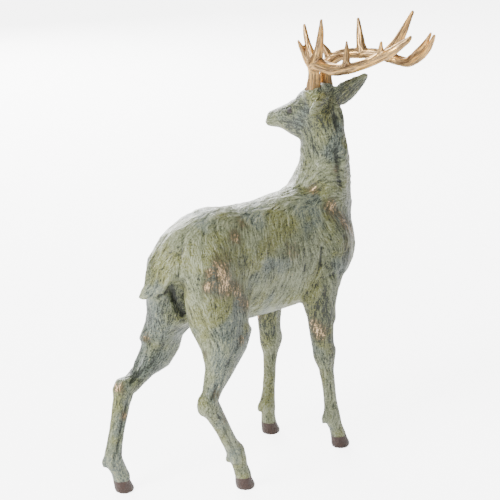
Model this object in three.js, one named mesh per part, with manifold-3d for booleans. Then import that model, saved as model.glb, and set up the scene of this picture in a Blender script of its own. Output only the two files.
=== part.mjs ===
// A resin stag that stands on four hooves and looks back over its left shoulder.
// The body is one casting with its head, ears, tail and hooves. The two antlers are castings of
// their own, each set in a shallow socket on the brow.
// Millimetres. +X is the way the body faces, +Y is its left, +Z is up, and the hooves stand on z = 0.
import * as THREE from "three";
import { mergeVertices } from "three/addons/utils/BufferGeometryUtils.js";
import Module from "manifold-3d";

const wasm = await Module();
wasm.setup();

// Where the body stands, so that the origin is under the middle of the whole figure
const bodyForward = 1.45;
const bodyLeft = 28.05;

// The head turns to the left on the neck
const pollAt = [104, 4, 361.5];
const headTurn = THREE.MathUtils.degToRad(95);

// Clear space between an antler and the wall of its socket
const socketGap = 0.35;

// How many times the creases are filled, and how far a facet may stray from the full shape
const softenRounds = 14;
const bodySlack = 0.66;
const antlerSlack = 0.35;

// The trunk, from rump to breast: forward, height, half width, half height above, half height below
const trunk = [
  [-128.5, 224, 6, 8, 10],
  [-122.5, 227, 16, 17.5, 8],
  [-108, 230, 27, 29, 17],
  [-88, 231, 34, 38, 31],
  [-60, 230, 37, 45.5, 49],
  [-24, 219, 41, 51, 62],
  [18, 211.5, 44, 56, 59],
  [58, 209.5, 44, 60.8, 57],
  [90, 209.5, 41, 61, 49],
  [115, 207, 35, 50, 45],
  [132, 203, 23, 33, 34],
  [142, 200, 8, 14, 15],
];

// The neck: x, y, z, turn of its front in degrees, half width, half depth in front, half depth behind
const neck = [
  [84, 0, 209, 0, 32, 44, 34],
  [92, 0, 234, 4, 33, 45, 37],
  [101, 0, 257, 12, 30.5, 52, 34.5],
  [109, -1, 280, 30, 26.5, 45, 32],
  [109.4, -0.8, 300, 58, 23.6, 31, 27],
  [109, 0.5, 318, 80, 20, 27, 24],
  [107.5, 2, 334, 95, 19, 25, 23],
  [106, 3, 350, 95, 14, 18, 18],
];

// The head in its own frame, from the back of the skull to the lips: forward, height, half width,
// half height above, half height below
const skull = [
  [-21, -24, 7, 7, 8],
  [-15, -22, 14, 16, 18],
  [-2, -19, 17, 20, 28],
  [10, -22, 16.5, 21, 31],
  [18, -26, 15.5, 23, 28],
  [25, -29, 13.5, 17, 23],
  [34, -32, 11, 14.5, 16.5],
  [45, -34, 9, 10.5, 11.5],
  [54, -37.5, 8, 9.4, 9],
  [58.5, -38.6, 7.4, 8.2, 7.4],
  [61, -39.6, 5.4, 6, 5.2],
];

// The shoulder and the haunch of the left side, from the top down: height, forward, left, half width,
// half depth ahead and half depth behind. The right side mirrors them.
const shoulder = [
  [258, 74, 12, 10, 18, 14],
  [240, 77, 21, 18, 28, 22],
  [220, 80, 27, 19.5, 33, 27],
  [200, 79, 29.5, 19, 33, 31],
  [184, 73, 31, 17.5, 24.5, 29],
  [170, 67, 33, 15, 22, 25],
  [154, 65, 35, 12.5, 19.5, 20],
  [138, 67, 36.5, 10.5, 16, 15],
];
const haunch = [
  [254, -82, 16, 9, 18, 10],
  [242, -82, 22, 15, 29, 20],
  [226, -82, 26, 18, 37, 30],
  [205, -80, 24.5, 21, 41, 33],
  [185, -79, 26.5, 22.5, 42, 32],
  [168, -80, 28.5, 22.5, 39.5, 27.5],
  [151, -83, 37, 16.5, 34, 21.5],
  [136, -88, 40.5, 12, 24, 16],
];

// Bones of the fore legs: x, y, z of elbow, knee, fetlock and hoof crown, for each side
const foreLegs = {
  right: [[62, -35, 178], [68, -38, 106], [81, -38, 36], [91, -38.8, 12]],
  left: [[65.5, 35, 178], [73.5, 38, 103], [70, 38.5, 32], [72, 38.7, 12]],
};
// How thick a fore leg is along those bones: place along them, half width, half depth before and behind
const foreLegFlesh = [
  [0, 8, 12, 13],
  [0.3, 12, 17, 17],
  [0.65, 10.5, 12.8, 15],
  [0.88, 9.5, 12.5, 13.5],
  [1, 10, 15, 13.5],
  [1.12, 9, 12.6, 11.4],
  [1.3, 6.8, 8.2, 7],
  [1.75, 6.4, 7.6, 6.6],
  [1.95, 7.6, 8.4, 9.2],
  [2.1, 7.8, 8.4, 9],
  [2.5, 6.8, 7.2, 7.2],
  [3, 7.6, 8, 8],
];

// Bones of the hind legs: stifle, middle of the gaskin, hock, fetlock and hoof crown
const hindLegs = {
  right: [[-79, -38, 172], [-90.5, -41, 133], [-104, -41, 102.5], [-65, -41, 38], [-55, -41, 12]],
  left: [[-77, 38, 172], [-86, 41, 132], [-132, 42, 104], [-150, 42, 36], [-140, 40, 12]],
};
const hindLegFlesh = {
  right: [
    [0, 12, 39, 14],
    [0.5, 14, 34, 19],
    [1, 12.5, 20.5, 13.5],
    [1.4, 10.5, 13, 11],
    [1.8, 9.2, 8.8, 9],
    [1.97, 9.2, 9, 13.5],
    [2.04, 9, 9.4, 15.4],
    [2.14, 8.6, 9.6, 11.5],
    [2.35, 7.2, 8.4, 8.4],
    [2.75, 6.8, 7.4, 8],
    [2.95, 7.8, 11, 9.4],
    [3.15, 8, 9.4, 8.6],
    [3.5, 7, 8, 7.6],
    [4, 8, 8.6, 8.6],
  ],
  left: [
    [0, 9, 13, 14],
    [0.5, 14, 26, 25.5],
    [1, 12.5, 24, 30.5],
    [1.4, 10.5, 14.8, 12.5],
    [1.8, 9.2, 14, 6],
    [2, 9.2, 10.6, 14.5],
    [2.12, 8.8, 9, 12],
    [2.35, 7.2, 6.6, 10.6],
    [2.75, 6.8, 7, 10.4],
    [2.95, 7.8, 9.2, 10.6],
    [3.15, 8, 9.6, 9.2],
    [3.5, 7, 10.5, 7.6],
    [4, 8, 10, 8.6],
  ],
};

// One hoof, from the crown down to the ground: forward of the crown, height, half width, toe, heel
const hoofShape = [
  [-1, 14, 6.4, 7, 6.6],
  [0, 11, 8.4, 9, 8.6],
  [1.5, 6, 9, 10.5, 9.2],
  [2, 1.8, 9.2, 11.5, 8.8],
  [2, 0, 8.2, 10.6, 7.2],
];

// One dewclaw: above the middle of the fetlock, behind it, half width, half depth before and behind
const dewclawShape = [
  [3, 7, 1.2, 1.4, 1.2],
  [0, 7.6, 2.6, 2.4, 2.4],
  [-4, 8, 2.6, 2.4, 2.4],
  [-7.5, 8.2, 1.4, 1.4, 1.4],
];

const tailBones = [
  [-98, 0, 258, 9, 8, 8],
  [-109, 0, 249, 13, 8, 7],
  [-118, 1, 237, 17, 7.5, 6],
  [-126, 2.5, 223, 16, 6, 5],
  [-131.5, 7, 211, 9.5, 4.5, 4],
  [-139.5, 14.5, 202, 3, 2, 2],
];

// The rough hair round the roots of the antlers, from below up, in the head's frame: height, forward,
// left, half width, half depth ahead and half depth behind
const crown = [
  [-22, -3, 0, 10, 8, 8],
  [-10, -4, 1.5, 17.5, 16, 10.5],
  [-3, -4, 1.5, 19.3, 16.5, 10.5],
  [2, -4, 1.5, 18.3, 15, 10.5],
  [5.5, -6, 1, 13, 9, 9],
  [7.5, -7.5, 0, 7, 4, 4.5],
];

// The ears in the head's frame: x, y, z, half width, half thickness
const ears = {
  left: [
    [-14, 9, -4, 5, 5],
    [-16, 15, -6, 8, 4.6],
    [-17, 24, -10, 9, 4],
    [-17.5, 31, -12.5, 7.5, 3.4],
    [-18, 37, -13.5, 3, 2],
  ],
  right: [
    [-11, -8, -11.5, 8.5, 5],
    [-14.5, -15, -7, 13.5, 4.6],
    [-18, -25, -4, 13.8, 4],
    [-20.5, -37, 1, 10.8, 3.4],
    [-23.5, -45, 6, 7.2, 2.8],
    [-25.5, -50, 9, 2.5, 1.6],
  ],
};

// Antlers in the head's frame: x, y, z and radius along the beam, then along each tine
const antlers = {
  left: [
    [[-1, 9, -6, 8.7], [-1.5, 9, -1, 8.6], [-1.5, 9, 6, 7.2], [-1.9, 9.4, 17.5, 5.8], [-3, 11, 26, 6.4],
      [-8, 13, 29, 6.8], [-21, 17, 28.2, 6.6], [-35, 21, 28.2, 6.2], [-56, 26, 33.3, 5.5],
      [-72, 29, 39.4, 5.2], [-85, 30, 45.4, 5], [-95, 29, 51, 4.9], [-105, 27, 56.5, 4.7],
      [-112, 24, 62.5, 4.1], [-118, 21, 68, 3.2], [-121.5, 19, 72.5, 1.5]],
    [[0, 12, 28, 5.4], [3, 13, 32, 4.4], [7, 14, 39, 3.3], [10, 16, 46, 2.4], [12, 17, 51, 1.2]],
    [[-3, 12, 29, 6], [-1.5, 12, 34, 5], [3.5, 11, 44, 3.8], [7.5, 10, 55, 2.8], [10.5, 9, 66, 1.3]],
    [[-8, 14, 28, 7], [-10, 14, 38, 5.6], [-12, 14, 50, 4.2], [-13.4, 14, 62, 3], [-13.6, 14, 74.5, 1.5]],
    [[-50, 25, 31, 5], [-52.5, 26, 43, 3.8], [-53, 27, 52, 2.8], [-53.5, 28, 60.5, 1.3]],
    [[-91, 29, 47, 4.8], [-94, 30, 55, 3.2], [-95, 31, 61, 2.2], [-96, 32, 66.5, 1.2]],
  ],
  right: [
    [[-3, -9, -6, 8.7], [-3, -9, -1, 8.6], [-3, -9, 6, 7.2], [-2.6, -9.5, 14, 6.2], [-2.5, -11, 22, 6.2],
      [-5, -13, 27, 6.4], [-11, -17, 31.5, 6], [-18, -20, 34.5, 5.6], [-28, -24, 36, 5.4],
      [-43, -28, 37, 5.6], [-54, -30, 37, 5.6], [-67, -30, 35, 5.4], [-78, -29, 34, 5.2],
      [-88, -27, 34.5, 5], [-99, -24, 39, 4.5], [-110, -21, 47, 4], [-118, -19, 56, 3.2],
      [-124, -17, 67.5, 1.5]],
    [[-5, -14, 28, 5.4], [-1.7, -13, 35.5, 4], [2.5, -12, 41, 3], [5.4, -11, 46, 1.5]],
    [[-36, -26, 34, 7], [-31.5, -28, 45, 5], [-28.5, -30, 57, 3.6], [-25, -32, 70, 1.5]],
    [[-60, -29, 35, 7.4], [-72, -29, 49, 6], [-81, -30, 65.5, 4.2], [-89.5, -32, 84.5, 1.8]],
    [[-91, -26, 37, 4.6], [-103, -24, 49, 3.6], [-112, -22, 59, 2.8], [-117.5, -21, 68.5, 1.3]],
  ],
};

const up = new THREE.Vector3(0, 0, 1);
const forward = new THREE.Vector3(1, 0, 0);
const left = new THREE.Vector3(0, 1, 0);

// A smooth run of values through the rows, read at t from 0 to 1
function smoothRun(rows) {
  const columns = rows[0].length;
  const curves = [];
  for (let c = 0; c < columns; c += 3) {
    const points = rows.map((row) => new THREE.Vector3(row[c], row[c + 1] ?? 0, row[c + 2] ?? 0));
    curves.push(new THREE.CatmullRomCurve3(points, false, "catmullrom", 0.5));
  }
  return (t) => curves.flatMap((curve) => curve.getPoint(t).toArray()).slice(0, columns);
}

// A closed skin over ovals. Each oval has a centre, two directions in its plane, a half width and
// two half depths, one on each side of the centre.
function skin(ovals, sides) {
  const positions = [];
  const faces = [];
  for (const { centre, across, deep, width, before, behind } of ovals) {
    for (let i = 0; i < sides; i += 1) {
      const angle = (2 * Math.PI * (i + 0.5)) / sides;
      const depth = Math.sin(angle) > 0 ? before : behind;
      const point = centre
        .clone()
        .addScaledVector(across, width * Math.cos(angle))
        .addScaledVector(deep, depth * Math.sin(angle));
      positions.push(point.x, point.y, point.z);
    }
  }
  const last = ovals.length - 1;
  for (let ring = 0; ring < last; ring += 1) {
    for (let i = 0; i < sides; i += 1) {
      const a = ring * sides + i;
      const b = ring * sides + ((i + 1) % sides);
      faces.push(a, b, b + sides, a, b + sides, a + sides);
    }
  }
  for (const [ring, start] of [[0, false], [last, true]]) {
    const { centre } = ovals[ring];
    const middle = positions.length / 3;
    positions.push(centre.x, centre.y, centre.z);
    for (let i = 0; i < sides; i += 1) {
      const a = ring * sides + i;
      const b = ring * sides + ((i + 1) % sides);
      faces.push(...(start ? [a, b, middle] : [b, a, middle]));
    }
  }
  const geometry = new THREE.BufferGeometry();
  geometry.setAttribute("position", new THREE.Float32BufferAttribute(positions, 3));
  geometry.setIndex(faces);
  return geometry;
}

// A skin over ovals that stay square to a fixed direction, as slices of a loaf
function slices(rows, count, sides, toOval) {
  const run = smoothRun(rows);
  const ovals = Array.from({ length: count }, (_, i) => toOval(run(i / (count - 1))));
  return skin(ovals, sides);
}

// A skin over ovals that follow a line of flesh: x, y, z, half width, half depth before and behind.
// faceAt gives the way that the front of the limb looks at t.
function limb(rows, count, sides, faceAt) {
  const run = smoothRun(rows);
  const at = (t) => new THREE.Vector3(...run(THREE.MathUtils.clamp(t, 0, 1)));
  const step = 0.5 / (count - 1);
  const ovals = [];
  for (let i = 0; i < count; i += 1) {
    const t = i / (count - 1);
    const along = at(t + step).sub(at(t - step)).normalize();
    const across = new THREE.Vector3().crossVectors(along, faceAt(t)).normalize();
    const deep = new THREE.Vector3().crossVectors(across, along).normalize();
    const [, , , width, before, behind] = run(t);
    ovals.push({ centre: at(t), across, deep, width, before, behind });
  }
  return skin(ovals, sides);
}

function solid(geometry) {
  const bare = geometry.clone();
  bare.deleteAttribute("normal");
  bare.deleteAttribute("uv");
  const merged = mergeVertices(bare, 1e-4);
  const made = new wasm.Manifold(
    new wasm.Mesh({
      numProp: 3,
      vertProperties: merged.attributes.position.array,
      triVerts: new Uint32Array(merged.index.array),
    }),
  );
  if (made.volume() > 0) return made;
  const turned = new Uint32Array(merged.index.array);
  turned.reverse();
  return new wasm.Manifold(
    new wasm.Mesh({ numProp: 3, vertProperties: merged.attributes.position.array, triVerts: turned }),
  );
}

// Fills the creases where forms meet, as a thumb does in clay. Only hollows are raised, so no ridge,
// tip or flat foot is worn down.
function soften(manifold, edge, slack) {
  const mesh = manifold.refineToLength(edge).getMesh();
  const geometry = new THREE.BufferGeometry();
  const points = new Float32Array(mesh.vertProperties);
  geometry.setAttribute("position", new THREE.BufferAttribute(points, 3));
  geometry.setIndex(new THREE.BufferAttribute(mesh.triVerts, 1));
  const around = Array.from({ length: points.length / 3 }, () => new Set());
  for (let i = 0; i < mesh.triVerts.length; i += 3) {
    const [a, b, c] = mesh.triVerts.slice(i, i + 3);
    around[a].add(b).add(c);
    around[b].add(a).add(c);
    around[c].add(a).add(b);
  }
  const pull = new THREE.Vector3();
  const outward = new THREE.Vector3();
  for (let round = 0; round < softenRounds; round += 1) {
    geometry.computeVertexNormals();
    const before = points.slice();
    around.forEach((near, v) => {
      pull.set(0, 0, 0);
      for (const n of near) pull.add({ x: before[3 * n], y: before[3 * n + 1], z: before[3 * n + 2] });
      pull.divideScalar(near.size).sub({ x: before[3 * v], y: before[3 * v + 1], z: before[3 * v + 2] });
      outward.fromBufferAttribute(geometry.attributes.normal, v);
      const lift = pull.dot(outward);
      const grip = THREE.MathUtils.smoothstep(before[3 * v + 2], 14, 24);
      if (lift <= 0) return;
      points[3 * v] += outward.x * lift * grip;
      points[3 * v + 1] += outward.y * lift * grip;
      points[3 * v + 2] += outward.z * lift * grip;
    });
  }
  geometry.deleteAttribute("normal");
  return solid(geometry).simplify(slack);
}

function geometryOf(manifold) {
  const mesh = manifold.getMesh();
  const geometry = new THREE.BufferGeometry();
  geometry.setAttribute("position", new THREE.BufferAttribute(mesh.vertProperties, 3));
  geometry.setIndex(new THREE.BufferAttribute(mesh.triVerts, 1));
  return geometry;
}

// A point along a chain of bones, where 1.5 is half way along the second bone
function alongBones(bones, place) {
  const bone = THREE.MathUtils.clamp(Math.floor(place), 0, bones.length - 2);
  const start = new THREE.Vector3(...bones[bone]);
  const end = new THREE.Vector3(...bones[bone + 1]);
  return start.lerp(end, place - bone).toArray();
}

function leg(bones, flesh, count, sides) {
  const rows = flesh.map(([place, width, before, behind]) => [
    ...alongBones(bones, place), width, before, behind,
  ]);
  return limb(rows, count, sides, () => forward);
}

// Flesh whose ovals lie level, from the top down
function levels(rows, side, count, sides) {
  return slices(rows, count, sides, ([height, ahead, away, width, before, behind]) => ({
    centre: new THREE.Vector3(ahead, side * away, height),
    across: left,
    deep: forward,
    width,
    before,
    behind,
  }));
}

function hoof([ahead, away]) {
  const rows = hoofShape.map(([toeward, height, ...oval]) => [height, ahead + toeward, away, ...oval]);
  return levels(rows, 1, 7, 16);
}

// The two small claws behind a fetlock
function dewclaws([ahead, away, height]) {
  return [4.2, -4.2].map((offset) => {
    const rows = dewclawShape.map(([up, back, ...oval]) => [height + up, ahead - back, away + offset, ...oval]);
    return levels(rows, 1, 5, 8);
  });
}

function trunkForm() {
  return slices(trunk, 30, 26, ([x, height, width, above, below]) => ({
    centre: new THREE.Vector3(x, 0, height),
    across: left,
    deep: up,
    width,
    before: above,
    behind: below,
  }));
}

function neckForm() {
  const rows = neck.map(([x, y, z, , width, before, behind]) => [x, y, z, width, before, behind]);
  const turns = smoothRun(neck.map((row) => [row[3]]));
  return limb(rows, 18, 22, (t) => forward.clone().applyAxisAngle(up, THREE.MathUtils.degToRad(turns(t)[0])));
}

const headFrame = new THREE.Matrix4()
  .makeRotationZ(headTurn)
  .setPosition(...pollAt);

function skullForm() {
  return slices(skull, 24, 20, ([x, height, width, above, below]) => ({
    centre: new THREE.Vector3(x, 0, height),
    across: left,
    deep: up,
    width,
    before: above,
    behind: below,
  })).applyMatrix4(headFrame);
}

function earForm(ear) {
  const rows = ear.map(([x, y, z, width, thick]) => [x, y, z, width, thick, thick]);
  return limb(rows, 12, 14, () => new THREE.Vector3(1, 0, 0.2)).applyMatrix4(headFrame);
}

function crownForm() {
  return levels(crown, 1, 10, 16).applyMatrix4(headFrame);
}

function tailForm() {
  return limb(tailBones, 12, 14, () => forward);
}

function bodySolid() {
  const forms = [
    trunkForm(), neckForm(), skullForm(), crownForm(), earForm(ears.left), earForm(ears.right), tailForm(),
  ];
  for (const side of [1, -1]) {
    forms.push(levels(shoulder, side, 14, 18), levels(haunch, side, 16, 20));
  }
  for (const bones of Object.values(foreLegs)) {
    forms.push(leg(bones, foreLegFlesh, 26, 14), hoof(bones.at(-1)), ...dewclaws(bones.at(-2)));
  }
  for (const [side, bones] of Object.entries(hindLegs)) {
    forms.push(leg(bones, hindLegFlesh[side], 28, 14), hoof(bones.at(-1)), ...dewclaws(bones.at(-2)));
  }
  const full = soften(forms.map(solid).reduce((sum, next) => sum.add(next)), 6, bodySlack);
  const sockets = Object.values(antlers).map(([beam]) => antlerBranch(beam, socketGap));
  const cut = sockets
    .map((socket) => solid(socket.applyMatrix4(headFrame)))
    .reduce((sum, next) => sum.subtract(next), full);
  // The largest piece is the stag with its two sockets
  return cut.decompose().sort((one, other) => other.volume() - one.volume())[0];
}

// One beam or tine, thicker all round by the gap and as much longer at its root
function antlerBranch(branch, gap) {
  const rows = branch.map(([x, y, z, radius], i) => {
    const round = radius + gap;
    return [x, y, i === 0 ? z - gap : z, round, round, round];
  });
  const isBeam = branch.length > 6;
  return limb(rows, isBeam ? 30 : 10, isBeam ? 12 : 8, () => new THREE.Vector3(0.3, 1, 0.1));
}

function antlerSolid(branches) {
  return branches
    .map((branch) => solid(antlerBranch(branch, 0)))
    .reduce((sum, next) => sum.add(next))
    .simplify(antlerSlack);
}

const patina = new THREE.MeshStandardMaterial({ color: 0x7f8a6c, roughness: 0.5, metalness: 0.1 });
const gold = new THREE.MeshStandardMaterial({ color: 0xc79a5c, roughness: 0.35, metalness: 0.7 });

const stag = new THREE.Group();
stag.position.set(bodyForward, bodyLeft, 0);

const head = new THREE.Group();
head.applyMatrix4(headFrame);
stag.add(head);

const body = new THREE.Mesh(geometryOf(bodySolid()), patina);
body.name = "body";
stag.add(body);

for (const [side, branches] of Object.entries(antlers)) {
  const antler = new THREE.Mesh(geometryOf(antlerSolid(branches)), gold);
  antler.name = `antler_${side}`;
  head.add(antler);
}

export default stag;
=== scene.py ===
# %% [markdown]
# # A resin stag, dressed for its portrait
#
# The figurine is a hollow resin casting, about 45 cm tall, that stands on four small hooves and
# looks back over its left shoulder. A modeller worked the coat in clay with small wooden tools, so
# the cast shows short strokes that follow the lie of the hair. The paint is a green patina over a
# dark ground, rubbed back to copper on the high places, with gilded antlers.
#
# The frame holds the true solids: the body with its head, ears and tail, and the two antlers. Each
# becomes an even, finely meshed copy here, which is smoothed, carved and painted. The coat could be
# sculpted by hand, but strokes that are worked out from a few lines come out the same every time.

import itertools
import math

import bmesh
import bpy
import numpy as np
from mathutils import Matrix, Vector


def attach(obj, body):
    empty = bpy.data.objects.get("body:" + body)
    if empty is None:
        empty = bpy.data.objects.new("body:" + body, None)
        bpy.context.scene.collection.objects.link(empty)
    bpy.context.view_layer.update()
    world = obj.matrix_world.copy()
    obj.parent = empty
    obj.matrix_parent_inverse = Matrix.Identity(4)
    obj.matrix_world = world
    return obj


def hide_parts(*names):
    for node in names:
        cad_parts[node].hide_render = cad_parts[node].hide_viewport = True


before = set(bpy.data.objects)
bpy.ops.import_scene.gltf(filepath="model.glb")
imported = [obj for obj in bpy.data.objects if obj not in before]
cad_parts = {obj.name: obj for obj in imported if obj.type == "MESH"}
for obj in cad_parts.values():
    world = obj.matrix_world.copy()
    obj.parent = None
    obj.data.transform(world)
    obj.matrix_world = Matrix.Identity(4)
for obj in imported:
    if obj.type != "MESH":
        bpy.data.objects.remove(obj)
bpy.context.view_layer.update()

MM = 0.001

# Where the figure stands in the frame, in millimetres
BODY_FORWARD, BODY_LEFT = 1.45, 28.05
HEAD_TURN = math.radians(95)
POLL = np.array([104, 4, 361.5])

# Size of one cell of the even mesh, in millimetres
BODY_CELL = 1.6
ANTLER_CELL = 0.72

SEED = 7

print("solids in the frame:", ", ".join(sorted(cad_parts)))


# %% [markdown]
# ## Places on the animal
#
# Everything on the body is named in the animal's own millimetres: forward, left and up from the
# ground between its feet. The head has a frame of its own, because it is turned to the left: its
# places are forward, left and up from the poll, the point between the ears.


# %% Places
def on_body(*place):
    """A place on the body, in the frame's millimetres."""
    return np.array(place, float) + (BODY_FORWARD, BODY_LEFT, 0)


NOSEWARD = np.array([math.cos(HEAD_TURN), math.sin(HEAD_TURN), 0])
HEAD_LEFT = np.array([-math.sin(HEAD_TURN), math.cos(HEAD_TURN), 0])
UP = np.array([0, 0, 1.0])


def on_head(ahead, left, up):
    """A place on the head, in the frame's millimetres."""
    return on_body(*(POLL + ahead * NOSEWARD + left * HEAD_LEFT + up * UP))


def in_head(points):
    """The frame's points as forward, left and up in the head."""
    away = points - on_head(0, 0, 0)
    return np.stack([away @ NOSEWARD, away @ HEAD_LEFT, away @ UP], 1)


print("the poll is at", on_head(0, 0, 0).round(1), "mm in the frame")


# %% [markdown]
# ## An even mesh to carve
#
# A clay figure is one skin without seams. The solid's own mesh has long thin triangles where its
# parts were joined, and they would show as soon as the surface is carved. A voxel remesh turns it
# into small even cells. The head gets cells of half that size, because its carving is finer.


# %% Fine copies of the solids
MERGED_WITHIN = 1e-6


def fine_copy(node, title, cell):
    """A closed copy of a solid in small even cells."""
    piece = bpy.data.objects.new(title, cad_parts[node].data.copy())
    piece.data.name = title
    piece.data.materials.clear()
    bpy.context.scene.collection.objects.link(piece)
    bpy.ops.object.select_all(action="DESELECT")
    piece.select_set(True)
    bpy.context.view_layer.objects.active = piece
    bpy.ops.object.mode_set(mode="EDIT")
    bpy.ops.mesh.select_all(action="SELECT")
    bpy.ops.mesh.remove_doubles(threshold=MERGED_WITHIN)
    bpy.ops.object.mode_set(mode="OBJECT")
    remesh = piece.modifiers.new("Even cells", "REMESH")
    remesh.mode = "VOXEL"
    remesh.voxel_size = cell * MM
    bpy.ops.object.modifier_apply(modifier=remesh.name)
    return piece


def finer_where(piece, wanted):
    """Halves the cells of the faces whose middle is wanted."""
    grid = bmesh.new()
    grid.from_mesh(piece.data)
    middles = np.array([face.calc_center_median() for face in grid.faces]) / MM
    chosen = wanted(middles)
    edges = {edge for face, take in zip(grid.faces, chosen) if take for edge in face.edges}
    bmesh.ops.subdivide_edges(grid, edges=list(edges), cuts=1, use_grid_fill=True)
    grid.to_mesh(piece.data)
    grid.free()


def triangles(piece):
    """How many triangles the faces of a piece make."""
    return sum(len(face.vertices) - 2 for face in piece.data.polygons)


# %% Finer cells on the face
# The face and the front of the skull, where the eyes, nostrils and mouth are: from and to, ahead,
# left and up in the head
FACE = [(8, 66), (-18, 18), (-54, -4)]


def on_the_face(points):
    """Whether each point is within the face."""
    sides = zip(in_head(points).T, FACE)
    return np.all([(low < values) & (values < high) for values, (low, high) in sides], axis=0)


body = fine_copy("body", "stag_body", BODY_CELL)
finer_where(body, on_the_face)
antlers = {
    side: fine_copy("antler_" + side, side + "_antler", ANTLER_CELL)
    for side in ("left", "right")
}
for piece in [body, *antlers.values()]:
    print(piece.name, "has", triangles(piece), "triangles")


# %% [markdown]
# ## The skin as arrays
#
# Carving moves every vertex by a little, so the skin is handled as arrays of points in millimetres.
# Two things are needed everywhere: the mean over neighbouring vertices, which softens a shape or a
# pattern, and the normals, along which the tool cuts.


# %% Skin
class Skin:
    """The vertices of a piece, in millimetres, and their neighbours."""

    def __init__(self, piece):
        self.piece = piece
        self.count = len(piece.data.vertices)
        places = np.empty(self.count * 3)
        piece.data.vertices.foreach_get("co", places)
        self.at = places.reshape(-1, 3) / MM
        ends = np.empty(len(piece.data.edges) * 2, np.int32)
        piece.data.edges.foreach_get("vertices", ends)
        self.one, self.other = ends.reshape(-1, 2).T
        self.links = np.bincount(ends, minlength=self.count)

    def soften(self, values, rounds):
        """Values drawn half way to the mean of their neighbours, some rounds over."""
        flat = values.reshape(self.count, -1).astype(float)
        for _ in range(rounds):
            for column in flat.T:
                total = np.bincount(self.one, column[self.other], self.count)
                total += np.bincount(self.other, column[self.one], self.count)
                column += 0.5 * (total / self.links - column)
        return flat.reshape(values.shape)

    def write(self):
        """Puts the points back on the piece."""
        self.piece.data.vertices.foreach_set("co", (self.at * MM).ravel())
        self.piece.data.update()

    def normals(self):
        """The way the skin faces at each point."""
        self.write()
        facing = np.empty(self.count * 3)
        self.piece.data.vertex_normals.foreach_get("vector", facing)
        return facing.reshape(-1, 3)

    def keep(self, name, values):
        """Stores values on the mesh, for its material to read."""
        kind = "FLOAT_VECTOR" if values.ndim == 2 else "FLOAT"
        layer = self.piece.data.attributes.new(name, kind, "POINT")
        layer.data.foreach_set("vector" if values.ndim == 2 else "value", values.ravel())


def smooth_facets(skin, rounds):
    """Takes the facets off and gives back, in three goes, the fullness that smoothing costs."""
    soft = skin.soften(skin.at, rounds)
    for _ in range(3):
        soft = soft + skin.soften(skin.at - soft, rounds)
    return soft


def step(values, start, end):
    """0 before start, 1 after end, smooth between."""
    part = np.clip((values - start) / (end - start), 0, 1)
    return part * part * (3 - 2 * part)


def bell(distance, width):
    """1 on the spot, and fading out over the width."""
    return np.exp(-((distance / width) ** 2))


skin = Skin(body)
raw = skin.at.copy()
print("the skin has", skin.count, "points")


# %% [markdown]
# ## Patterns that follow the hair
#
# A streak is made like wet paint drawn out with a brush: take a grainy pattern in space and average
# it along the direction in which the hair lies. The grain is a lattice of seeded random values, so
# the carving comes out the same every time.


# %% Grain
AXIS_FACTORS = np.array([73856093, 19349663, 83492791])
SEED_FACTOR = 2654435761
LOW_32_BITS = 0xFFFFFFFF
SCRAMBLES = [(15, 739982445), (12, 695872825)]
LOW_16_BITS = 0xFFFF
CELL_CORNERS = list(itertools.product((0, 1), repeat=3))


def lattice(corners, seed):
    """A random value between -1 and 1 for each whole-numbered corner."""
    mixed = np.bitwise_xor.reduce(corners * AXIS_FACTORS, axis=1) ^ (seed * SEED_FACTOR)
    mixed &= LOW_32_BITS
    for shift, factor in SCRAMBLES:
        mixed = ((mixed ^ (mixed >> shift)) * factor) & LOW_32_BITS
    return ((mixed ^ (mixed >> 15)) & LOW_16_BITS) / (LOW_16_BITS / 2) - 1


def grain(points, size, seed):
    """Smooth random values between -1 and 1, with bumps of about the given size."""
    scaled = points / size
    first = np.floor(scaled).astype(np.int64)
    part = scaled - first
    part = part * part * (3 - 2 * part)
    total = np.zeros(len(points))
    for corner in CELL_CORNERS:
        nearness = np.prod(abs(1 - np.array(corner) - part), axis=1)
        total += nearness * lattice(first + corner, seed)
    return total


print("grain of 10 mm spreads by", grain(raw, 10, SEED).std().round(2))


# %% Streaks
def streaks(points, lie, width, reach, seed):
    """Grain of the given width drawn out along the lie, evened to a spread of 1."""
    steps = np.arange(-reach, reach + 0.1, width * 0.6)
    total = sum(
        math.cos(along / reach * math.pi / 2.2) * grain(points + along * lie, width, seed)
        for along in steps
    )
    return total / total.std()


def along_surface(directions, normals):
    """Directions laid flat on the skin, of length 1."""
    flat = directions - (directions * normals).sum(1)[:, None] * normals
    return flat / np.maximum(np.linalg.norm(flat, axis=1), 1e-9)[:, None]


def to_segment(points, start, end):
    """Distance of each point from a straight stretch."""
    run = end - start
    part = np.clip((points - start) @ run / (run @ run), 0, 1)
    return np.linalg.norm(points - start - part[:, None] * run, axis=1)


def to_line(points, line):
    """Distance of each point from a line of stretches."""
    return np.min([to_segment(points, a, b) for a, b in zip(line, line[1:])], axis=0)


# %% [markdown]
# ## The lie of the hair
#
# Hair grows from the nose towards the tail and down the legs. The modeller's strokes follow it:
# lengthwise on the back and the legs, down over the shoulder and the haunch, nearly upright on the
# flank, and round the foot of the neck like a collar. A few lines on the animal say so, and every
# vertex takes its direction from the lines nearest to it.


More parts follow.
